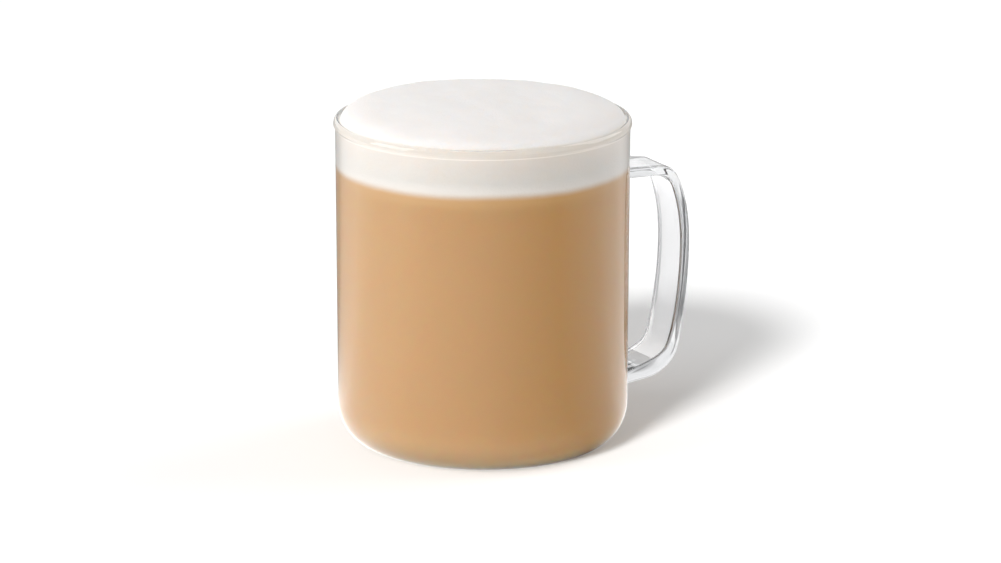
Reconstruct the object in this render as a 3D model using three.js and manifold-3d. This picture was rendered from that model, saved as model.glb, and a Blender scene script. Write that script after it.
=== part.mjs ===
// Masala chai in a clear glass mug, filled to the brim and capped with a domed head of milk foam.
// Lengths are in millimetres and +Z is up. The origin is on the mug's axis in the plane of its
// flat base, and the handle stands out along +X.
import * as THREE from "three";
import { mergeVertices } from "three/addons/utils/BufferGeometryUtils.js";
import { NURBSCurve } from "three/addons/curves/NURBSCurve.js";
import Module from "manifold-3d";

// Mug body
const MUG_HEIGHT = 94.5;
const RIM_WALL_RADIUS = 42;
const BASE_WALL_RADIUS = 41.85;
const WALL_THICKNESS = 1.6;
const BASE_THICKNESS = 3;
const CORNER_WIDTH = 8.8;
const CORNER_HEIGHT = 11;
const ROUND_TURNS = 68;

// Rolled rim: a bead that swells past the wall and is rounded over at the top
const BEAD_BULGE = 0.5;
const BEAD_WIDEST_BELOW_TOP = 1.7;
const BEAD_HEIGHT = 2.7;
const CROWN_RADIUS = 41.45;

// Strap handle: a flat band that follows a curve in the XZ plane
const STRAP_WIDTH = 14.6;
const STRAP_THICKNESS = 3.05;
const STRAP_EDGE_RADIUS = 0.9;
const STRAP_STEPS = 48;
const ROOT_FLARE_LENGTH = 4;
const ROOT_WIDTH_FLARE = 0.05;
const ROOT_THICKNESS_FLARE = 0.32;
// The band is thicker on its outer side at the heel, its lower corner
const HEEL_CENTRE = new THREE.Vector3(53, 0, 15.5);
const HEEL_THICKENING = 2;
const HEEL_REACH = 8.6;
const HEEL_STATIONS = 240;
// Control points [x, z] of the band's centre line, from the upper root down to the lower one
const STRAP_CONTROLS = [
  [39.5, 74.7],
  [50.0, 74.4],
  [57.1, 75.0],
  [60.3, 69.0],
  [63.9, 53.0],
  [59.6, 17.9],
  [55.1, 16.7],
  [39.5, 12.1],
];

// Drink
const CHAI_LEVEL = 80.8;
const GAP = 0.3;
const DRINK_TURNS = 54;

// Foam: a layer on the chai that swells above the rim like a muffin top
const FOAM_EDGE_HEIGHT = 92.5;
const FOAM_RISE = 7.95;
const FOAM_FULLNESS = 0.3;
const FOAM_RINGS = 14;
const FOAM_LEAN = 0.55;
const FOAM_LUMP_HEIGHT = 0.22;
const FOAM_LUMP_SPACING = 19;
const FOAM_HIGH_SIDE = THREE.MathUtils.degToRad(153);

const GLASS = { color: 0xeef2f3, roughness: 0.04, metalness: 0 };
const CHAI = { color: 0xc69a6c, roughness: 0.35, metalness: 0 };
const FOAM = { color: 0xf3ede9, roughness: 0.8, metalness: 0 };

const wasm = await Module();
wasm.setup();

// A quarter ellipse of points about (centreR, centreZ), from one angle to another.
function ellipsePoints(centreR, centreZ, width, height, fromDeg, toDeg, steps) {
  const points = [];
  for (let i = 0; i <= steps; i++) {
    const angle = THREE.MathUtils.degToRad(fromDeg + ((toDeg - fromDeg) * i) / steps);
    const r = centreR + width * Math.cos(angle);
    const z = centreZ + height * Math.sin(angle);
    points.push(new THREE.Vector2(r, z));
  }
  return points;
}

// A body turned about +Z from an [r, z] profile that runs up the outside and back to the axis.
function turned(profile, turns) {
  const geometry = new THREE.LatheGeometry(profile, turns);
  geometry.rotateX(Math.PI / 2);
  return geometry;
}

function asSolid(geometry) {
  const bare = geometry.clone();
  bare.deleteAttribute("normal");
  bare.deleteAttribute("uv");
  const merged = mergeVertices(bare, 1e-3);
  return new wasm.Manifold(
    new wasm.Mesh({
      numProp: 3,
      vertProperties: merged.attributes.position.array,
      triVerts: new Uint32Array(merged.index.array),
    }),
  );
}

function asGeometry(solid) {
  const mesh = solid.getMesh();
  const geometry = new THREE.BufferGeometry();
  geometry.setAttribute("position", new THREE.BufferAttribute(mesh.vertProperties, 3));
  geometry.setIndex(new THREE.BufferAttribute(mesh.triVerts, 1));
  geometry.computeVertexNormals();
  return geometry;
}

function namedMesh(name, geometry, look) {
  const mesh = new THREE.Mesh(geometry, new THREE.MeshStandardMaterial(look));
  mesh.name = name;
  return mesh;
}

// The mug's cavity outline from the floor's centre out to the wall, shrunk by an inset all round.
function cavityProfile(inset) {
  const wallRadius = BASE_WALL_RADIUS - WALL_THICKNESS - inset;
  const floor = BASE_THICKNESS + inset;
  const width = CORNER_WIDTH - WALL_THICKNESS - inset;
  const height = CORNER_HEIGHT - BASE_THICKNESS - inset;
  const corner = ellipsePoints(wallRadius - width, floor + height, width, height, -90, 0, 6);
  return [new THREE.Vector2(0, floor), ...corner];
}

// The whole glass wall in section: base, outer corner, wall, bead, crown, then down the inside.
function mugProfile() {
  const outerCorner = ellipsePoints(
    BASE_WALL_RADIUS - CORNER_WIDTH,
    CORNER_HEIGHT,
    CORNER_WIDTH,
    CORNER_HEIGHT,
    -90,
    0,
    9,
  );
  const bulgeRadius = RIM_WALL_RADIUS + BEAD_BULGE;
  const innerRadius = RIM_WALL_RADIUS - WALL_THICKNESS;
  const widestHeight = MUG_HEIGHT - BEAD_WIDEST_BELOW_TOP;
  const outerBead = [];
  const beadSteps = 5;
  for (let i = 0; i < beadSteps; i++) {
    const share = i / beadSteps;
    const swell = (1 - Math.cos(Math.PI * share)) / 2;
    const z = MUG_HEIGHT - BEAD_HEIGHT + share * (BEAD_HEIGHT - BEAD_WIDEST_BELOW_TOP);
    outerBead.push(new THREE.Vector2(RIM_WALL_RADIUS + BEAD_BULGE * swell, z));
  }
  const outerCrown = ellipsePoints(
    CROWN_RADIUS,
    widestHeight,
    bulgeRadius - CROWN_RADIUS,
    BEAD_WIDEST_BELOW_TOP,
    0,
    90,
    4,
  );
  const innerCrown = ellipsePoints(
    CROWN_RADIUS,
    widestHeight,
    CROWN_RADIUS - innerRadius,
    BEAD_WIDEST_BELOW_TOP,
    90,
    180,
    4,
  ).slice(1);
  return [
    new THREE.Vector2(0, 0),
    ...outerCorner,
    ...outerBead,
    ...outerCrown,
    ...innerCrown,
    ...cavityProfile(0).reverse(),
  ];
}

// The band's section: its width lies along the section's x, because the path bends about Y.
function strapSection() {
  const halfWidth = STRAP_WIDTH / 2;
  const halfThickness = STRAP_THICKNESS / 2;
  const round = STRAP_EDGE_RADIUS;
  const section = new THREE.Shape();
  section.absarc(halfWidth - round, halfThickness - round, round, 0, Math.PI / 2);
  section.absarc(round - halfWidth, halfThickness - round, round, Math.PI / 2, Math.PI);
  section.absarc(round - halfWidth, round - halfThickness, round, Math.PI, 1.5 * Math.PI);
  section.absarc(halfWidth - round, round - halfThickness, round, 1.5 * Math.PI, 2 * Math.PI);
  return section;
}

function strapPath() {
  const degree = 3;
  const spans = STRAP_CONTROLS.length - degree;
  const knots = [];
  for (let i = 0; i < STRAP_CONTROLS.length + degree + 1; i++) {
    knots.push(THREE.MathUtils.clamp(i - degree, 0, spans));
  }
  const controls = STRAP_CONTROLS.map(([x, z]) => new THREE.Vector4(x, 0, z, 1));
  return new NURBSCurve(degree, knots, controls);
}

// The band flares where it runs into the wall, in width and in thickness.
function flareRoots(geometry) {
  const position = geometry.getAttribute("position");
  const upper = STRAP_CONTROLS[0];
  const lower = STRAP_CONTROLS[STRAP_CONTROLS.length - 1];
  const beforeLower = STRAP_CONTROLS[STRAP_CONTROLS.length - 2];
  const lowerSlope = (beforeLower[1] - lower[1]) / (beforeLower[0] - lower[0]);
  for (let i = 0; i < position.count; i++) {
    const x = position.getX(i);
    const z = position.getZ(i);
    const reach = (RIM_WALL_RADIUS + ROOT_FLARE_LENGTH - x) / ROOT_FLARE_LENGTH;
    const flare = THREE.MathUtils.clamp(reach, 0, 1) ** 2;
    const isUpper = z > MUG_HEIGHT / 2;
    const centre = isUpper ? upper[1] : lower[1] + lowerSlope * (x - lower[0]);
    position.setY(i, position.getY(i) * (1 + ROOT_WIDTH_FLARE * flare));
    position.setZ(i, centre + (z - centre) * (1 + ROOT_THICKNESS_FLARE * flare));
  }
}

// Vertices outside the band's centre line move outwards, most of all at the heel.
function thickenHeel(geometry, path) {
  const position = geometry.getAttribute("position");
  const stations = path.getPoints(HEEL_STATIONS);
  const insideGap = new THREE.Vector3(RIM_WALL_RADIUS, 0, MUG_HEIGHT / 2);
  const vertex = new THREE.Vector3();
  for (let i = 0; i < position.count; i++) {
    vertex.set(position.getX(i), 0, position.getZ(i));
    let nearest = stations[0];
    for (const station of stations) {
      if (station.distanceToSquared(vertex) < nearest.distanceToSquared(vertex)) {
        nearest = station;
      }
    }
    if (vertex.distanceTo(insideGap) > nearest.distanceTo(insideGap)) {
      const heel = Math.exp(-((nearest.distanceTo(HEEL_CENTRE) / HEEL_REACH) ** 2));
      const growth = (heel * HEEL_THICKENING) / (STRAP_THICKNESS / 2);
      vertex.addScaledVector(vertex.clone().sub(nearest), growth);
      position.setXYZ(i, vertex.x, position.getY(i), vertex.z);
    }
  }
}

function mugSolid() {
  const path = strapPath();
  const strap = new THREE.ExtrudeGeometry(strapSection(), {
    steps: STRAP_STEPS,
    curveSegments: 3,
    extrudePath: path,
  });
  thickenHeel(strap, path);
  flareRoots(strap);
  // The band's ends stop in the middle of the wall, so nothing shows inside the mug.
  const midWall = RIM_WALL_RADIUS - WALL_THICKNESS / 2;
  const core = new THREE.CylinderGeometry(midWall, midWall, 2 * MUG_HEIGHT, ROUND_TURNS);
  core.rotateX(Math.PI / 2);
  const band = asSolid(strap).subtract(asSolid(core));
  return asSolid(turned(mugProfile(), ROUND_TURNS)).add(band);
}

function chaiGeometry() {
  const outline = cavityProfile(GAP);
  const top = CHAI_LEVEL - GAP / 2;
  const wallRadius = outline[outline.length - 1].x;
  return turned(
    [...outline, new THREE.Vector2(wallRadius, top), new THREE.Vector2(0, top)],
    DRINK_TURNS,
  );
}

// How much the foam stands above or below an even dome at (x, y): it leans, and it has soft lumps.
function foamUnevenness(x, y, wallRadius) {
  const distance = Math.hypot(x, y) / wallRadius;
  const alongLean = x * Math.cos(FOAM_HIGH_SIDE) + y * Math.sin(FOAM_HIGH_SIDE);
  const wave = (2 * Math.PI) / FOAM_LUMP_SPACING;
  const lumps = Math.sin(wave * x + 0.8) * Math.cos(wave * 0.8 * y) + Math.sin(wave * 0.6 * (x + y));
  const fade = 1 - distance ** 4;
  return fade * (FOAM_LEAN * (alongLean / wallRadius) + FOAM_LUMP_HEIGHT * lumps);
}

function foamGeometry() {
  const wallRadius = BASE_WALL_RADIUS - WALL_THICKNESS - GAP;
  const bottom = CHAI_LEVEL + GAP / 2;
  const profile = [
    new THREE.Vector2(0, bottom),
    new THREE.Vector2(wallRadius, bottom),
    new THREE.Vector2(wallRadius, FOAM_EDGE_HEIGHT),
  ];
  for (let i = 1; i <= FOAM_RINGS; i++) {
    const angle = (Math.PI / 2) * (i / FOAM_RINGS);
    const r = i === FOAM_RINGS ? 0 : wallRadius * Math.cos(angle);
    const rise = FOAM_RISE * Math.sin(angle) ** (2 * FOAM_FULLNESS);
    profile.push(new THREE.Vector2(r, FOAM_EDGE_HEIGHT + rise));
  }
  const geometry = turned(profile, DRINK_TURNS);
  const position = geometry.getAttribute("position");
  for (let i = 0; i < position.count; i++) {
    if (position.getZ(i) > FOAM_EDGE_HEIGHT) {
      const uneven = foamUnevenness(position.getX(i), position.getY(i), wallRadius);
      position.setZ(i, position.getZ(i) + uneven);
    }
  }
  return geometry;
}

const masalaChai = new THREE.Group();
masalaChai.name = "masala_chai";
masalaChai.add(namedMesh("mug", asGeometry(mugSolid()), GLASS));
masalaChai.add(namedMesh("chai", chaiGeometry(), CHAI));
masalaChai.add(namedMesh("foam", foamGeometry(), FOAM));

export default masalaChai;
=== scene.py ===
import math

import bpy
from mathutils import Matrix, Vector, kdtree, noise


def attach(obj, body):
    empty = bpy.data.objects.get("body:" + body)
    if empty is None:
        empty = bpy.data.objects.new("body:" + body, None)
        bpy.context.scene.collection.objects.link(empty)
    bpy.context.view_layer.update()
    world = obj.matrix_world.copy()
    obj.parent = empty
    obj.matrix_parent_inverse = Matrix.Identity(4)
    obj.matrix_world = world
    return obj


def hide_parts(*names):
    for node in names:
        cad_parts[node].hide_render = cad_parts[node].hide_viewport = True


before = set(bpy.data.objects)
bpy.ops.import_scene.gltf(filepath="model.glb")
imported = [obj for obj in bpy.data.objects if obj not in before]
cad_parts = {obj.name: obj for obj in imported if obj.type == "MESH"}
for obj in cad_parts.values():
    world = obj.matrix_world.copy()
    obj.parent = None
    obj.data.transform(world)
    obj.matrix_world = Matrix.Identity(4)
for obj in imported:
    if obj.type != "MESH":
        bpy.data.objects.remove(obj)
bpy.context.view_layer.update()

MM = 0.001
NEAR_ZERO = 0.01

# Mug body, in millimetres
MUG_HEIGHT = 94.5
RIM_WALL_RADIUS = 42.0
BASE_WALL_RADIUS = 41.85
WALL_THICKNESS = 1.6
BASE_THICKNESS = 3.0
CORNER_WIDTH = 8.8
CORNER_HEIGHT = 11.0
BEAD_BULGE = 0.5
BEAD_WIDEST_BELOW_TOP = 1.7
BEAD_HEIGHT = 2.7
CROWN_RADIUS = 41.45
SHARP_DEGREES = 40
JOINED_SHARP_DEGREES = 50
MUG_TURNS = 256
CORNER_STEPS = 28
CAVITY_STEPS = 20
BEAD_STEPS = 16
CROWN_STEPS = 14
WALL_SPACING = 2.0
FOOT_SPACING = 6.0

# Strap handle: control points [x, z] of its centre line, from the upper root to the lower one
STRAP_CONTROLS = [
    (39.5, 74.7),
    (50.0, 74.4),
    (57.1, 75.0),
    (60.3, 69.0),
    (63.9, 53.0),
    (59.6, 17.9),
    (55.1, 16.7),
    (39.5, 12.1),
]
STRAP_WIDTH = 14.6
STRAP_THICKNESS = 3.04
STRAP_EDGE_RADIUS = 0.8
STRAP_CORNER_STEPS = 7
STRAP_FLAT_STEPS = 10
STRAP_SAMPLES = 4000
STRAP_SPACING = 0.55
# At its roots the band flares in a fillet, and its sections lie closer together
ROOT_FILLET = 1.3
ROOT_REACH = 1.8
ROOT_SPACING = 0.1
STRAP_END_X = 41.0
UPRIGHT_REACH = 4.0
# The band is thicker on its outer side at the heel, its lower corner
HEEL_CENTRE = (53.0, 15.5)
HEEL_THICKENING = 2.0
HEEL_REACH = 8.6
# The band's grip carries painted shade, which stands in for the dark its glass shows by refraction:
# dark on its narrow sides and grey on its wide ones. It fades in and out between these heights.
SIDE_SHADE_FADES = ((26.0, 31.0), (63.0, 68.0))
FACE_SHADE_FADES = ((18.5, 26.5), (67.5, 73.5))

# Painted shade on the glass, which stands in for the dark its refraction and reflections show: how
# light the glass is left, from 0, dark, to 1
# The handle's arms and grip are painted grey as shade
ARM_SHADE_LIGHTNESS = 0.88
GRIP_SHADE_LIGHTNESS = 0.56
# Painted shade on the inner crown, and on the foot's edge where the mug meets the table
RIM_SHADE_LIGHTNESS = 0.42
CROWN_FROM_HEIGHT = 92.8
FOOT_SHADE_LIGHTNESS = 0.35
FOOT_FROM_RADIUS = 32.05
FOOT_TO_HEIGHT = 0.4
# Painted dark lines of shade along the band's inner edges
FAR_SHADE_LINE_LIGHTNESS = 0.02
NEAR_SHADE_LINE_LIGHTNESS = 0.55
SHADE_LINE_WIDTH = 0.4
# The same painted shade over the band's narrow side: offset from its middle, outwards in
# millimetres, and lightness.
# Past the painted line along the inner edge it is clear, then grey, and dark at the outer edge.
SIDE_SHADE_LIGHTNESS = [(-0.75, 1.0), (-0.5, 0.3), (-0.1, 0.42), (0.9, 0.42), (1.25, 0.12)]
INNER_EDGE = -1.3
# Streaks of painted shade run down the side: changes in each millimetre across it and along it, and
# their depth
SHADE_STREAKS_ACROSS = 2.4
SHADE_STREAKS_ALONG = 0.035
SHADE_STREAK_DEPTH = 0.16

# Drink. It reaches a little into the wall, and the foam further, so that no air gap shows.
CHAI_LEVEL = 80.8
INTO_WALL = 0.15
FOAM_INTO_WALL = 0.17
FOAM_OVERLAP = 0.06
FOAM_EDGE_HEIGHT = 92.5
FOAM_RISE = 7.95
FOAM_FULLNESS = 0.3
FOAM_LEAN = 0.55
FOAM_HIGH_SIDE = math.radians(153)
# Swells, lumps and grain on the foam: spacing, level of the noise that is read, and height
FOAM_LUMPS = [(17, 3.7, 0.55), (7, 8.1, 0.28), (2.2, 1.3, 0.05)]
FOAM_FLATTENING = 6
FOAM_RINGS = 130
FOAM_RING_EASE = 1.15
FOAM_WALL_SPACING = 1.0
DRINK_TURNS = 256
DRINK_CORNER_STEPS = 24

# Camera, fitted to the photograph: degrees, millimetres and pixels of the 1001 x 563 frame
CAMERA_AZIMUTH = -26.5
CAMERA_ELEVATION = 15.25
CAMERA_DISTANCE = 1176.0
FOCAL_PIXELS = 4093.0
IMAGE_WIDTH = 1001
IMAGE_HEIGHT = 563
TARGET_PIXEL = (482.25, 276.4)
SENSOR_WIDTH = 36.0


def ellipse_points(centre_r, centre_z, width, height, from_deg, to_deg, steps):
    """Points [r, z] along an arc of an upright ellipse, both ends among them."""
    points = []
    for i in range(steps + 1):
        angle = math.radians(from_deg + (to_deg - from_deg) * i / steps)
        points.append((centre_r + width * math.cos(angle), centre_z + height * math.sin(angle)))
    return points


def eased(low, high, value):
    """0 below one value and 1 above another, with an eased step between."""
    share = min(max((value - low) / (high - low), 0.0), 1.0)
    return share * share * (3 - 2 * share)


def between(fades, value):
    """1 between two fades and 0 outside them, where each fade is a pair of values."""
    fade_in, fade_out = fades
    return eased(*fade_in, value) * (1 - eased(*fade_out, value))


def smooth_object(name, vertices, faces):
    """A mesh object from points in millimetres, smooth except along its sharp edges."""
    mesh = bpy.data.meshes.new(name)
    mesh.from_pydata([(x * MM, y * MM, z * MM) for x, y, z in vertices], [], faces)
    mesh.shade_smooth()
    mesh.set_sharp_from_angle(angle=math.radians(SHARP_DEGREES))
    made = bpy.data.objects.new(name, mesh)
    bpy.context.scene.collection.objects.link(made)
    return made


def turned_mesh(profile, turns):
    """Vertices and faces of a body turned about +Z. The profile runs from the axis to the axis."""
    vertices = []
    faces = []
    rings = []
    for r, z in profile:
        if r < NEAR_ZERO:
            rings.append([len(vertices)] * turns)
            vertices.append((0.0, 0.0, z))
            continue
        rings.append([len(vertices) + i for i in range(turns)])
        for i in range(turns):
            angle = 2 * math.pi * i / turns
            vertices.append((r * math.cos(angle), r * math.sin(angle), z))
    for low, high in zip(rings, rings[1:]):
        for i in range(turns):
            j = (i + 1) % turns
            corners = [low[i], low[j], high[j], high[i]]
            faces.append(tuple(dict.fromkeys(corners)))
    return vertices, faces


def cavity_profile(inset, steps):
    """The cavity's outline from the floor's centre to the wall, shrunk by an inset all round."""
    wall_radius = BASE_WALL_RADIUS - WALL_THICKNESS - inset
    floor_height = BASE_THICKNESS + inset
    width = CORNER_WIDTH - WALL_THICKNESS - inset
    height = CORNER_HEIGHT - BASE_THICKNESS - inset
    corner = ellipse_points(
        wall_radius - width, floor_height + height, width, height, -90, 0, steps
    )
    return [(0.0, floor_height), *corner]


def evenly(start, end, spacing):
    """Points strictly between two [r, z] points, about that far apart."""
    count = max(1, round(math.dist(start, end) / spacing))
    return [
        tuple(a + (b - a) * i / count for a, b in zip(start, end)) for i in range(1, count)
    ]


def mug_profile():
    """The whole glass wall in section: base, corner, wall, bead, crown, then down the inside."""
    foot_radius = BASE_WALL_RADIUS - CORNER_WIDTH
    outer_corner = ellipse_points(
        foot_radius, CORNER_HEIGHT, CORNER_WIDTH, CORNER_HEIGHT, -90, 0, CORNER_STEPS
    )
    bulge_radius = RIM_WALL_RADIUS + BEAD_BULGE
    inner_radius = RIM_WALL_RADIUS - WALL_THICKNESS
    widest_height = MUG_HEIGHT - BEAD_WIDEST_BELOW_TOP
    outer_bead = []
    for i in range(BEAD_STEPS):
        share = i / BEAD_STEPS
        swell = (1 - math.cos(math.pi * share)) / 2
        height = MUG_HEIGHT - BEAD_HEIGHT + share * (BEAD_HEIGHT - BEAD_WIDEST_BELOW_TOP)
        outer_bead.append((RIM_WALL_RADIUS + BEAD_BULGE * swell, height))
    crown = (CROWN_RADIUS, widest_height)
    drop = BEAD_WIDEST_BELOW_TOP
    outer_crown = ellipse_points(*crown, bulge_radius - CROWN_RADIUS, drop, 0, 90, CROWN_STEPS)
    inner_crown = ellipse_points(*crown, CROWN_RADIUS - inner_radius, drop, 90, 180, CROWN_STEPS)
    inner_crown = inner_crown[1:]
    cavity = cavity_profile(0.0, CAVITY_STEPS)[::-1]
    return [
        (0.0, 0.0),
        *evenly((0.0, 0.0), (foot_radius, 0.0), FOOT_SPACING),
        *outer_corner,
        *evenly(outer_corner[-1], outer_bead[0], WALL_SPACING),
        *outer_bead,
        *outer_crown,
        *inner_crown,
        *evenly(inner_crown[-1], cavity[0], WALL_SPACING),
        *cavity,
    ]


def spline_point(controls, share):
    """A point of the clamped uniform cubic B-spline, by de Boor's steps."""
    degree = 3
    spans = len(controls) - degree
    knots = [min(max(i - degree, 0), spans) for i in range(len(controls) + degree + 1)]
    u = min(max(share, 0.0), 1.0) * spans
    span = min(int(u), spans - 1) + degree
    points = [controls[span - degree + j] for j in range(degree + 1)]
    for level in range(1, degree + 1):
        for j in range(degree, level - 1, -1):
            low = knots[span - degree + j]
            high = knots[span + 1 + j - level]
            mix = (u - low) / (high - low)
            points[j] = tuple(
                (1 - mix) * a + mix * b for a, b in zip(points[j - 1], points[j])
            )
    return points[degree]


def strap_stations():
    """Centre points and tangents down the handle, closer together near both roots."""
    line = [spline_point(STRAP_CONTROLS, i / STRAP_SAMPLES) for i in range(STRAP_SAMPLES + 1)]
    line = [p for p in line if p[0] >= STRAP_END_X]
    stations = [line[0]]
    travelled = 0.0
    tangents = []
    for before, after in zip(line, line[1:]):
        travelled += math.dist(before, after)
        near_root = after[0] < RIM_WALL_RADIUS + ROOT_REACH
        if travelled >= (ROOT_SPACING if near_root else STRAP_SPACING):
            stations.append(after)
            travelled = 0.0
    stations.append(line[-1])
    for i in range(len(stations)):
        a = stations[max(i - 1, 0)]
        b = stations[min(i + 1, len(stations) - 1)]
        length = math.dist(a, b)
        tangents.append(((b[0] - a[0]) / length, (b[1] - a[1]) / length))
    return stations, tangents


def strap_section(grow):
    """The band's rounded outline as (across, through) offsets, grown evenly by a fillet."""
    half_width = STRAP_WIDTH / 2 + grow
    half_thickness = STRAP_THICKNESS / 2 + grow
    radius = STRAP_EDGE_RADIUS + grow
    outline = []
    for quarter, (side_w, side_t) in enumerate([(1, 1), (-1, 1), (-1, -1), (1, -1)]):
        centre = (side_w * (half_width - radius), side_t * (half_thickness - radius))
        for i in range(STRAP_CORNER_STEPS + 1):
            angle = math.radians(90 * quarter + 90 * i / STRAP_CORNER_STEPS)
            outline.append(
                (centre[0] + radius * math.cos(angle), centre[1] + radius * math.sin(angle))
            )
    section = []
    for i, point in enumerate(outline):
        section.append(point)
        following = outline[(i + 1) % len(outline)]
        if i % (STRAP_CORNER_STEPS + 1) == STRAP_CORNER_STEPS:
            for j in range(1, STRAP_FLAT_STEPS):
                ease = (1 - math.cos(math.pi * j / STRAP_FLAT_STEPS)) / 2
                section.append(
                    tuple(a + (b - a) * ease for a, b in zip(point, following))
                )
    return section


def side_shade_lightness(through):
    """The painted shade's lightness at an offset on the band's narrow side, from the list of such
    offsets.
    """
    if through <= SIDE_SHADE_LIGHTNESS[0][0]:
        return SIDE_SHADE_LIGHTNESS[0][1]
    for (low, before), (high, after) in zip(SIDE_SHADE_LIGHTNESS, SIDE_SHADE_LIGHTNESS[1:]):
        if through <= high:
            return before + (after - before) * (through - low) / (high - low)
    return SIDE_SHADE_LIGHTNESS[-1][1]


def strap_painted_shade(across, through, height, length):
    """Painted shade: dark lines along the inner edges, a grey grip, and dark streaked sides to the
    grip.
    """
    flat_end = STRAP_WIDTH / 2 - STRAP_EDGE_RADIUS
    if through < INNER_EDGE and across > flat_end - SHADE_LINE_WIDTH:
        return FAR_SHADE_LINE_LIGHTNESS
    if through < INNER_EDGE and across < NEAR_ZERO - flat_end:
        return NEAR_SHADE_LINE_LIGHTNESS
    if abs(across) < flat_end - NEAR_ZERO:
        return ARM_SHADE_LIGHTNESS + (GRIP_SHADE_LIGHTNESS - ARM_SHADE_LIGHTNESS) * between(FACE_SHADE_FADES, height)
    place = Vector((through * SHADE_STREAKS_ACROSS, across, length * SHADE_STREAKS_ALONG))
    side = side_shade_lightness(through) + SHADE_STREAK_DEPTH * noise.noise(place)
    painted_lightness = 1 + (side - 1) * between(SIDE_SHADE_FADES, height)
    return min(max(painted_lightness, FAR_SHADE_LINE_LIGHTNESS), 1.0)


def strap_mesh():
    """Vertices, faces and each vertex's lightness under painted shade, for the band with its heel
    and its fillets.
    """
    stations, tangents = strap_stations()
    vertices = []
    painted_lightness = []
    faces = []
    length = 0.0
    before = stations[0]
    size = len(strap_section(0.0))
    for (x, z), (dx, dz) in zip(stations, tangents):
        length += math.dist(before, (x, z))
        before = (x, z)
        heel = math.exp(-((math.dist((x, z), HEEL_CENTRE) / HEEL_REACH) ** 2))
        outer_growth = 1 + heel * HEEL_THICKENING / (STRAP_THICKNESS / 2)
        depth = max(x - RIM_WALL_RADIUS, 0.0)
        if depth < ROOT_FILLET:
            grow = ROOT_FILLET - math.sqrt(ROOT_FILLET**2 - (ROOT_FILLET - depth) ** 2)
        else:
            grow = 0.0
        # Close to the wall the section's plane turns upright, so that the end lies in the wall.
        upright = 1 - min(max((x - STRAP_END_X) / UPRIGHT_REACH, 0.0), 1.0)
        side = 1 if z > MUG_HEIGHT / 2 else -1
        normal = Vector((-dz, dx)).lerp(Vector((0.0, float(side))), upright).normalized()
        for across, through in strap_section(grow):
            out = through * outer_growth if through > 0 else through
            vertices.append((x + normal.x * out, across, z + normal.y * out))
            painted_lightness.append(strap_painted_shade(across, through, z, length) if grow == 0 else 1.0)
    for ring in range(len(stations) - 1):
        for i in range(size):
            j = (i + 1) % size
            low = ring * size
            high = low + size
            faces.append((low + i, high + i, high + j, low + j))
    faces.append(tuple(range(size)))
    last = (len(stations) - 1) * size
    faces.append(tuple(last + i for i in reversed(range(size))))
    return vertices, faces, painted_lightness


def body_painted_shade(x, y, z):
    """Painted shade: the mug's inner crown is painted dark, and so is the narrow line where it
    meets the table.
    """
    r = math.hypot(x, y)
    if z > CROWN_FROM_HEIGHT and r < CROWN_RADIUS:
        return RIM_SHADE_LIGHTNESS
    if z < FOOT_TO_HEIGHT and r > FOOT_FROM_RADIUS:
        return FOOT_SHADE_LIGHTNESS
    return 1.0


def joined_glass():
    """The mug's body and its handle as one closed glass surface."""
    body = smooth_object("mug_glass", *turned_mesh(mug_profile(), MUG_TURNS))
    strap_vertices, strap_faces, strap_shade_lightnesses = strap_mesh()
    strap = smooth_object("strap", strap_vertices, strap_faces)
    union = body.modifiers.new("join", "BOOLEAN")
    union.operation = "UNION"
    union.solver = "EXACT"
    union.object = strap
    evaluated = body.evaluated_get(bpy.context.evaluated_depsgraph_get())
    mesh = bpy.data.meshes.new_from_object(evaluated)
    body.modifiers.clear()
    body.data = mesh
    bpy.data.objects.remove(strap)
    mesh.shade_smooth()
    mesh.set_sharp_from_angle(angle=math.radians(JOINED_SHARP_DEGREES))
    nearby = kdtree.KDTree(len(strap_vertices))
    for i, vertex in enumerate(strap_vertices):
        nearby.insert(vertex, i)
    nearby.balance()
    shade_lightnesses = []
    for vertex in mesh.vertices:
        place = vertex.co / MM
        if math.hypot(place.x, place.y) > RIM_WALL_RADIUS + ROOT_FILLET:
            shade_lightnesses.append(strap_shade_lightnesses[nearby.find(place)[1]])
        else:
            shade_lightnesses.append(body_painted_shade(*place))
    mesh.attributes.new("painted_lightness", "FLOAT", "POINT").data.foreach_set("value", shade_lightnesses)
    return body


def chai_body():
    """The tea, from just inside the glass up to its level."""
    outline = cavity_profile(-INTO_WALL, DRINK_CORNER_STEPS)
    wall_radius = RIM_WALL_RADIUS - WALL_THICKNESS + INTO_WALL
    top = (wall_radius, CHAI_LEVEL)
    profile = [*outline, *evenly(outline[-1], top, WALL_SPACING), top, (0.0, CHAI_LEVEL)]
    return smooth_object("chai_drink", *turned_mesh(profile, DRINK_TURNS))


def foam_unevenness(x, y, wall_radius):
    """How far the foam stands above or below an even dome. It leans, and it has soft lumps."""
    distance = math.hypot(x, y) / wall_radius
    along_lean = x * math.cos(FOAM_HIGH_SIDE) + y * math.sin(FOAM_HIGH_SIDE)
    lift = FOAM_LEAN * along_lean / wall_radius
    for spacing, level, height in FOAM_LUMPS:
        lift += noise.noise(Vector((x / spacing, y / spacing, level))) * height
    return (1 - distance**FOAM_FLATTENING) * lift


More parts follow.
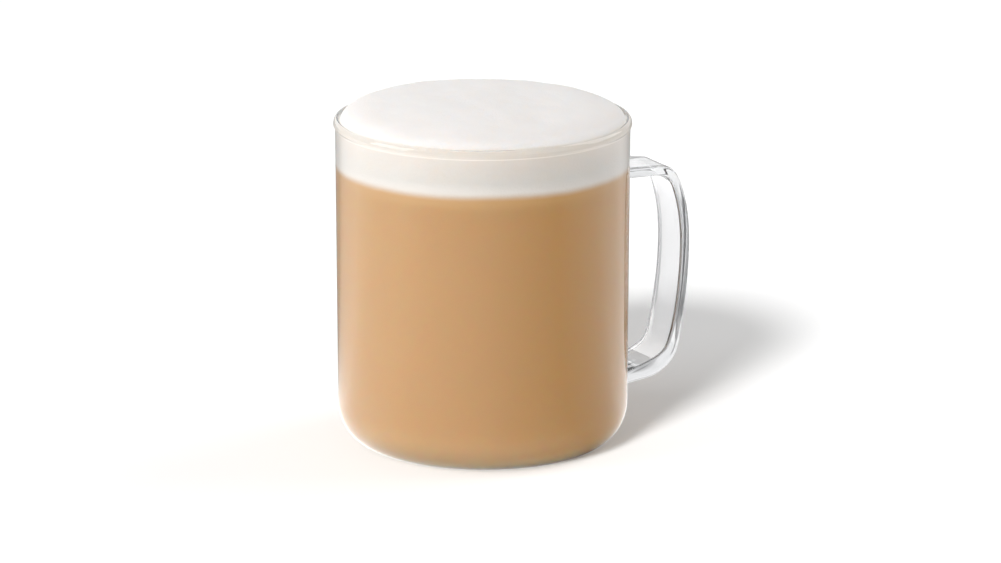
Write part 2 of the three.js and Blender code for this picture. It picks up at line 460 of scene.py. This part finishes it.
def foam_body():
    """The foam, from the tea's level up the wall to its uneven dome."""
    wall_radius = RIM_WALL_RADIUS - WALL_THICKNESS + FOAM_INTO_WALL
    underside = CHAI_LEVEL - FOAM_OVERLAP
    profile = [(0.0, underside), (wall_radius, underside)]
    edge = (wall_radius, FOAM_EDGE_HEIGHT)
    profile += [*evenly(profile[-1], edge, FOAM_WALL_SPACING), edge]
    for i in range(1, FOAM_RINGS + 1):
        angle = math.pi / 2 * (i / FOAM_RINGS) ** FOAM_RING_EASE
        r = wall_radius * math.cos(angle) if i < FOAM_RINGS else 0.0
        profile.append((r, FOAM_EDGE_HEIGHT + FOAM_RISE * math.sin(angle) ** (2 * FOAM_FULLNESS)))
    vertices, faces = turned_mesh(profile, DRINK_TURNS)
    uneven = []
    for x, y, z in vertices:
        lift = foam_unevenness(x, y, wall_radius) if z > FOAM_EDGE_HEIGHT else 0.0
        uneven.append((x, y, z + lift))
    return smooth_object("foam_head", uneven, faces)


class Shader:
    """The nodes of a new material or world, made by kind and joined by short calls."""

    def __init__(self, owner, output_kind="ShaderNodeOutputMaterial"):
        owner.use_nodes = True
        self.owner = owner
        self.tree = owner.node_tree
        self.tree.nodes.clear()
        self.output = self.node(output_kind)

    def node(self, kind, **settings):
        made = self.tree.nodes.new(kind)
        for key, value in settings.items():
            setattr(made, key, value)
        return made

    def join(self, source, target):
        self.tree.links.new(source, target)

    def put(self, node, **values):
        for key, value in values.items():
            node.inputs[key.replace("_", " ")].default_value = value
        return node

    def surface_point(self):
        return self.node("ShaderNodeTexCoord").outputs["Object"]

    def noise(self, scale, detail, point):
        made = self.node("ShaderNodeTexNoise")
        self.put(made, Scale=scale, Detail=detail)
        self.join(point, made.inputs["Vector"])
        return made.outputs["Fac"]

    def height_of(self, point):
        split = self.node("ShaderNodeSeparateXYZ")
        self.join(point, split.inputs[0])
        return split.outputs["Z"]

    def along(self, point, axis):
        """How far a point lies along an axis."""
        dot = self.node("ShaderNodeVectorMath", operation="DOT_PRODUCT")
        self.join(point, dot.inputs[0])
        dot.inputs[1].default_value = axis
        return dot.outputs["Value"]

    def eased_share(self, value, low, high):
        """0 below one value and 1 above another, with an eased step between."""
        step = self.node("ShaderNodeMapRange", interpolation_type="SMOOTHSTEP")
        self.put(step, From_Min=low, From_Max=high)
        self.join(value, step.inputs["Value"])
        return step.outputs["Result"]

    def height_share(self, point, low, high):
        """The same by height, in millimetres."""
        return self.eased_share(self.height_of(point), low * MM, high * MM)

    def grey_ramp(self, stops, value):
        """A grey that changes with a value, from a list of (value from 0 to 1, brightness)."""
        ramp = self.node("ShaderNodeValToRGB")
        elements = ramp.color_ramp.elements
        while len(elements) < len(stops):
            elements.new(0.5)
        for element, (place, level) in zip(elements, stops):
            element.position = place
            element.color = (level, level, level, 1)
        self.join(value, ramp.inputs["Fac"])
        return ramp.outputs["Color"]

    def mix_colours(self, share, low, high, blend="MIX"):
        """A colour between two others, which are sockets or values. The share is a socket."""
        made = self.node("ShaderNodeMix", data_type="RGBA", blend_type=blend)
        for name, kind, value in (
            ("Factor", "VALUE", share),
            ("A", "RGBA", low),
            ("B", "RGBA", high),
        ):
            # The Mix node has sockets of several kinds under one name
            socket = next(s for s in made.inputs if s.name == name and s.type == kind)
            if isinstance(value, tuple):
                socket.default_value = (*value, 1)
            else:
                self.join(value, socket)
        return next(s for s in made.outputs if s.type == "RGBA")

    def mix_surfaces(self, share, low, high):
        """One surface where the share is 0 and another where it is 1."""
        made = self.node("ShaderNodeMixShader")
        for i, source in enumerate((share, low, high)):
            self.join(source, made.inputs[i])
        return made.outputs[0]

    def relief(self, height, strength, depth, surface):
        """Relief on a surface from a pattern between 0 and 1, its depth in millimetres."""
        bump = self.node("ShaderNodeBump")
        self.put(bump, Strength=strength, Distance=depth * MM)
        self.join(height, bump.inputs["Height"])
        self.join(bump.outputs["Normal"], surface.inputs["Normal"])


GLASS_INDEX = 1.47
GLASS_WAVES_IN_METRE = 120.0
GLASS_WAVE_DEPTH = 0.4
GLASS_WAVE_STRENGTH = 0.03
GLASS_DENSITY = 12.0
GLASS_TINT = (0.0, 0.05, 0.06)
CLEAR_GLASS = (0.99, 0.99, 1.0)
# Painted shade turns the clear glass towards this dark
PAINTED_SHADE_GLASS = (0.0, 0.0, 0.005)
# Light that casts shadows or comes off the floor passes straight through the glass
SHADOW_TINT = (0.90, 0.91, 0.91)


def painted_shade_glass_colour(shader):
    """Clear glass with painted shade: dark where the mesh's painted lightness is low."""
    painted_lightness = shader.node("ShaderNodeAttribute", attribute_name="painted_lightness")
    return shader.mix_colours(painted_lightness.outputs["Fac"], PAINTED_SHADE_GLASS, CLEAR_GLASS)


def glass_material():
    """Clear glass with painted shade, a faint waviness and a slight tint inside."""
    shader = Shader(bpy.data.materials.new("clear_glass"))
    glass = shader.node("ShaderNodeBsdfPrincipled")
    shader.put(glass, Roughness=0.0, IOR=GLASS_INDEX, Transmission_Weight=1.0)
    shader.join(painted_shade_glass_colour(shader), glass.inputs["Base Color"])
    waves = shader.noise(GLASS_WAVES_IN_METRE, 1.0, shader.surface_point())
    shader.relief(waves, GLASS_WAVE_STRENGTH, GLASS_WAVE_DEPTH, glass)
    inside = shader.node("ShaderNodeVolumeAbsorption")
    shader.put(inside, Density=GLASS_DENSITY)
    inside.inputs["Color"].default_value = (*GLASS_TINT, 1)
    shader.join(inside.outputs[0], shader.output.inputs["Volume"])
    clear = shader.node("ShaderNodeBsdfTransparent")
    clear.inputs["Color"].default_value = (*SHADOW_TINT, 1)
    path = shader.node("ShaderNodeLightPath")
    surface = glass.outputs[0]
    for ray in ("Is Shadow Ray", "Is Diffuse Ray"):
        surface = shader.mix_surfaces(path.outputs[ray], surface, clear.outputs[0])
    shader.join(surface, shader.output.inputs["Surface"])
    return shader.owner


CHAI_COLOUR = (0.434, 0.249, 0.102)
CHAI_BASE_COLOUR = (0.445, 0.287, 0.138)
FOAM_COLOUR = (0.645, 0.622, 0.608)
LOW_FOAM_COLOUR = (0.575, 0.56, 0.553)
# Painted shade and a painted highlight for the foam seen behind the mug's bead
BEAD_SHADE_COLOUR = (0.575, 0.538, 0.495)
BEAD_HIGHLIGHT_COLOUR = (0.71, 0.67, 0.625)
# The foam against the glass is darker than its top: partly its wetness, partly painted shade
WET_SHADED_FOAM_COLOUR = (0.589, 0.549, 0.508)
# The tea is paler near the floor, and it turns to foam over a soft line that wavers a little
TEA_BASE_FADE = (3.0, 16.0)
FOAM_LINE_FADE = (CHAI_LEVEL - 0.9, CHAI_LEVEL + 1.9)
WAVER_HEIGHT = 0.8
WAVERS_IN_METRE = 90.0
# The drink scatters no light sideways within this reach of the line
LINE_REACH = 4.5
BUBBLES_IN_METRE = 1400.0
BUBBLE_DEPTH = 0.3

# From one height to another the foam turns to a colour: a thin painted highlight line and a dull
# band of painted shade behind the mug's bead, and then the dry top
FOAM_LAYERS = [
    (91.35, 91.6, BEAD_HIGHLIGHT_COLOUR),
    (91.85, 92.1, BEAD_SHADE_COLOUR),
    (94.0, 94.9, LOW_FOAM_COLOUR),
    (95.3, 99.3, FOAM_COLOUR),
]


def drink_colour(shader, point):
    """Tea below, wet foam darkened partly by painted shade above a slightly uneven line, and then
    the foam's other layers.
    """
    waver = shader.noise(WAVERS_IN_METRE, 3.0, point)
    shift = shader.node("ShaderNodeVectorMath", operation="MULTIPLY_ADD")
    shader.join(waver, shift.inputs[0])
    shift.inputs[1].default_value = (0.0, 0.0, WAVER_HEIGHT * MM)
    shader.join(point, shift.inputs[2])
    moved = shift.outputs["Vector"]
    above_base = shader.height_share(moved, *TEA_BASE_FADE)
    tea = shader.mix_colours(above_base, CHAI_BASE_COLOUR, CHAI_COLOUR)
    line = shader.height_share(moved, *FOAM_LINE_FADE)
    colour = shader.mix_colours(line, tea, WET_SHADED_FOAM_COLOUR)
    for low, high, above in FOAM_LAYERS:
        colour = shader.mix_colours(shader.height_share(point, low, high), colour, above)
    return colour


def away_from_line(shader, point, reach):
    """0 at the line between tea and foam, and 1 past that reach above or below it."""
    above = shader.height_share(point, CHAI_LEVEL + reach / 3, CHAI_LEVEL + reach)
    below = shader.height_share(point, CHAI_LEVEL - reach, CHAI_LEVEL - reach / 3)
    outside = shader.node("ShaderNodeMath", operation="SUBTRACT")
    outside.inputs[0].default_value = 1.0
    shader.join(below, outside.inputs[1])
    total = shader.node("ShaderNodeMath", operation="ADD")
    shader.join(outside.outputs[0], total.inputs[0])
    shader.join(above, total.inputs[1])
    return total.outputs[0]


def drink_material(name, roughness, scatter, scatter_radius, bubble_strength):
    """Cloudy tea or foam, with fine bubbles where they have a strength."""
    shader = Shader(bpy.data.materials.new(name))
    point = shader.surface_point()
    body = shader.node("ShaderNodeBsdfPrincipled")
    shader.join(drink_colour(shader, point), body.inputs["Base Color"])
    shader.put(body, Roughness=roughness, Subsurface_Scale=scatter, Specular_IOR_Level=0.0)
    shader.join(away_from_line(shader, point, LINE_REACH), body.inputs["Subsurface Weight"])
    body.inputs["Subsurface Radius"].default_value = scatter_radius
    if bubble_strength > 0:
        bubbles = shader.node("ShaderNodeTexVoronoi")
        shader.put(bubbles, Scale=BUBBLES_IN_METRE)
        shader.join(point, bubbles.inputs["Vector"])
        shader.relief(bubbles.outputs["Distance"], bubble_strength, BUBBLE_DEPTH, body)
    shader.join(body.outputs[0], shader.output.inputs["Surface"])
    return shader.owner


def dress(piece, material, node):
    """Give a piece its material, attach it to the root body, and hide the solid it stands for."""
    piece.data.materials.clear()
    piece.data.materials.append(material)
    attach(piece, "root")
    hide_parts(node)


dress(joined_glass(), glass_material(), "mug")
tea = drink_material(
    "milky_tea", roughness=0.45, scatter=0.012, scatter_radius=(1.0, 0.4, 0.15), bubble_strength=0.0
)
froth = drink_material(
    "milk_foam", roughness=0.7, scatter=0.015, scatter_radius=(1.0, 0.8, 0.65), bubble_strength=0.2
)
dress(chai_body(), tea, "chai")
dress(foam_body(), froth, "foam")

azimuth = math.radians(CAMERA_AZIMUTH)
elevation = math.radians(CAMERA_ELEVATION)
right = Vector((math.cos(azimuth), math.sin(azimuth), 0.0))
away = Vector((-math.sin(azimuth), math.cos(azimuth), 0.0))
UP = Vector((0.0, 0.0, 1.0))

# Floor
FLOOR_SIZE = 60.0
FLOOR_DROP = 0.00004
FLOOR_WHITE = (0.985, 0.985, 0.985)
# Seen by mirrored rays, the floor glows in place of cards round the mug, a painted reflection,
# white on the left and dark
# at the right front: degrees round the mug from the camera to the right, and brightness
FLOOR_GLOW_FOR_REFLECTIONS = [
    (-180, 0.3),
    (-145, 0.4),
    (-128, 1.2),
    (-110, 1.9),
    (-63, 2.1),
    (-37, 1.6),
    (0, 1.15),
    (31, 0.5),
    (56, 0.15),
    (85, 0.95),
    (105, 1.5),
    (130, 1.3),
    (150, 0.4),
    (180, 0.3),
]


def floor_material():
    """A plain white floor, which mirrored rays see as a glow by their bearing, a painted reflection
    of cards.
    """
    shader = Shader(bpy.data.materials.new("white_floor"))
    body = shader.node("ShaderNodeBsdfDiffuse")
    body.inputs["Color"].default_value = (*FLOOR_WHITE, 1)
    bearing = shader.node("ShaderNodeMath", operation="ARCTAN2")
    for socket, axis in zip(bearing.inputs, (right, -away)):
        shader.join(shader.along(shader.surface_point(), axis), socket)
    turn = shader.node("ShaderNodeMapRange")
    shader.put(turn, From_Min=-math.pi, From_Max=math.pi)
    shader.join(bearing.outputs[0], turn.inputs["Value"])
    brightest = max(level for _, level in FLOOR_GLOW_FOR_REFLECTIONS)
    stops = [((degrees + 180) / 360, level / brightest) for degrees, level in FLOOR_GLOW_FOR_REFLECTIONS]
    glow = shader.node("ShaderNodeEmission")
    shader.put(glow, Strength=brightest)
    shader.join(shader.grey_ramp(stops, turn.outputs["Result"]), glow.inputs["Color"])
    path = shader.node("ShaderNodeLightPath")
    mirrored = shader.node("ShaderNodeMath", operation="SUBTRACT", use_clamp=True)
    shader.join(path.outputs["Is Glossy Ray"], mirrored.inputs[0])
    shader.join(path.outputs["Is Transmission Ray"], mirrored.inputs[1])
    surface = shader.mix_surfaces(mirrored.outputs[0], body.outputs[0], glow.outputs[0])
    shader.join(surface, shader.output.inputs["Surface"])
    return shader.owner


floor_mesh = bpy.data.meshes.new("floor")
half = FLOOR_SIZE / 2
floor_mesh.from_pydata(
    [(-half, -half, 0), (half, -half, 0), (half, half, 0), (-half, half, 0)], [], [(0, 1, 2, 3)]
)
floor = bpy.data.objects.new("floor", floor_mesh)
floor.location.z = -FLOOR_DROP
bpy.context.scene.collection.objects.link(floor)
floor_mesh.materials.append(floor_material())

# Camera
back = -away * math.cos(elevation) + UP * math.sin(elevation)
camera_data = bpy.data.cameras.new("camera")
camera_data.sensor_fit = "HORIZONTAL"
camera_data.sensor_width = SENSOR_WIDTH
camera_data.lens = FOCAL_PIXELS * SENSOR_WIDTH / IMAGE_WIDTH
camera_data.shift_x = ((IMAGE_WIDTH - 1) / 2 - TARGET_PIXEL[0]) / IMAGE_WIDTH
camera_data.shift_y = (TARGET_PIXEL[1] - (IMAGE_HEIGHT - 1) / 2) / IMAGE_WIDTH
camera_data.clip_start = 0.05
camera_data.clip_end = 200.0
camera = bpy.data.objects.new("camera", camera_data)
camera.location = UP * MUG_HEIGHT / 2 * MM + back * CAMERA_DISTANCE * MM
camera.rotation_mode = "QUATERNION"
camera.rotation_quaternion = (-back).to_track_quat("-Z", "Y")
bpy.context.scene.collection.objects.link(camera)
bpy.context.scene.camera = camera

# Lights. Places and bearings are (to the camera's right, away from the camera).


def add_light(name, kind, towards, settings):
    """A light that shines against a direction, which points from its subject towards it."""
    data = bpy.data.lights.new(name, kind)
    for key, value in settings.items():
        setattr(data, key, value)
    made = bpy.data.objects.new(name, data)
    made.rotation_mode = "QUATERNION"
    made.rotation_quaternion = towards.to_track_quat("Z", "Y")
    bpy.context.scene.collection.objects.link(made)
    return made


def direction_of(bearing, lift):
    """The unit vector at a bearing and at an angle above the floor, in degrees."""
    level = (right * bearing[0] + away * bearing[1]).normalized()
    return level * math.cos(math.radians(lift)) + UP * math.sin(math.radians(lift))


# Key light from the left front, as the shadow on the floor tells
KEY_ELEVATION = 36
KEY_BEARING = (-0.475, -0.88)
KEY_STRENGTH = 0.95
KEY_ANGLE = math.radians(12)
key_settings = {"energy": KEY_STRENGTH * math.pi, "angle": KEY_ANGLE}
key = add_light("key", "SUN", direction_of(KEY_BEARING, KEY_ELEVATION), key_settings)
key.visible_glossy = False

# Broad soft lights: name, bearing from the mug, elevation, size and power
SOFT_LIGHTS = [
    ("left_soft", (-0.97, -0.24), 24, 0.7, 4.6),
    ("right_soft", (0.92, 0.39), 34, 0.9, 5.2),
]
SOFT_LIGHT_DISTANCE = 1.1
for name, bearing, lift, size, power in SOFT_LIGHTS:
    to_soft = direction_of(bearing, lift)
    soft_settings = {"shape": "SQUARE", "size": size, "energy": power}
    soft = add_light(name, "AREA", to_soft, soft_settings)
    soft.location = to_soft * SOFT_LIGHT_DISTANCE + UP * MUG_HEIGHT / 2 * MM

# A small white card stands behind the mug. Seen from the camera, only the handle's grip mirrors
# it, and seen from behind, the mug's wall does too.
CARD_PLACE = (-0.0115, 0.1014)
CARD_FACES = (0.799, -0.602)
CARD_WIDTH = 0.076
CARD_HEIGHT = 0.1
CARD_BRIGHTNESS = 3.1
card_settings = {
    "shape": "RECTANGLE",
    "size": CARD_WIDTH,
    "size_y": CARD_HEIGHT,
    "energy": CARD_BRIGHTNESS * math.pi * CARD_WIDTH * CARD_HEIGHT,
}
card = add_light("handle_card", "AREA", -direction_of(CARD_FACES, 0), card_settings)
card.location = right * CARD_PLACE[0] + away * CARD_PLACE[1] + UP * CARD_HEIGHT / 2
card.visible_camera = False
card.visible_diffuse = False
card.visible_transmission = False

# The room is dim above a bright band along the horizon, with a white wall behind the mug. Glass
# sees it white on all sides. Each list gives heights, as the Z of a direction, and brightness.
ROOM_STEPS = [(0.0, 1.0), (0.3, 1.0), (0.36, 0.26), (0.7, 0.26), (0.8, 0.02)]
WALL_STEPS = [(0.0, 1.0), (0.52, 1.0), (0.6, 0.0)]
SEEN_STEPS = [(0.0, 1.0), (0.52, 1.0), (0.65, 0.6)]
WALL_EDGE_COSINES = (0.66, 0.82)


def room_world():
    """The studio's light from all round, on a white backdrop that only the camera sees."""
    shader = Shader(bpy.data.worlds.new("studio"), "ShaderNodeOutputWorld")
    direction = shader.node("ShaderNodeTexCoord").outputs["Generated"]
    height = shader.height_of(direction)
    room, wall, seen = (
        shader.grey_ramp(steps, height) for steps in (ROOM_STEPS, WALL_STEPS, SEEN_STEPS)
    )
    wall_share = shader.eased_share(shader.along(direction, away), *WALL_EDGE_COSINES)
    lit = shader.mix_colours(wall_share, room, wall, "LIGHTEN")
    path = shader.node("ShaderNodeLightPath")
    light = shader.node("ShaderNodeBackground")
    colour = shader.mix_colours(path.outputs["Is Glossy Ray"], lit, seen)
    shader.join(colour, light.inputs["Color"])
    backdrop = shader.node("ShaderNodeBackground")
    backdrop.inputs["Color"].default_value = (1, 1, 1, 1)
    surface = shader.mix_surfaces(
        path.outputs["Is Camera Ray"], light.outputs[0], backdrop.outputs[0]
    )
    shader.join(surface, shader.output.inputs["Surface"])
    return shader.owner


bpy.context.scene.world = room_world()
bpy.context.scene.view_settings.view_transform = "Standard"
bpy.context.scene.view_settings.look = "None"
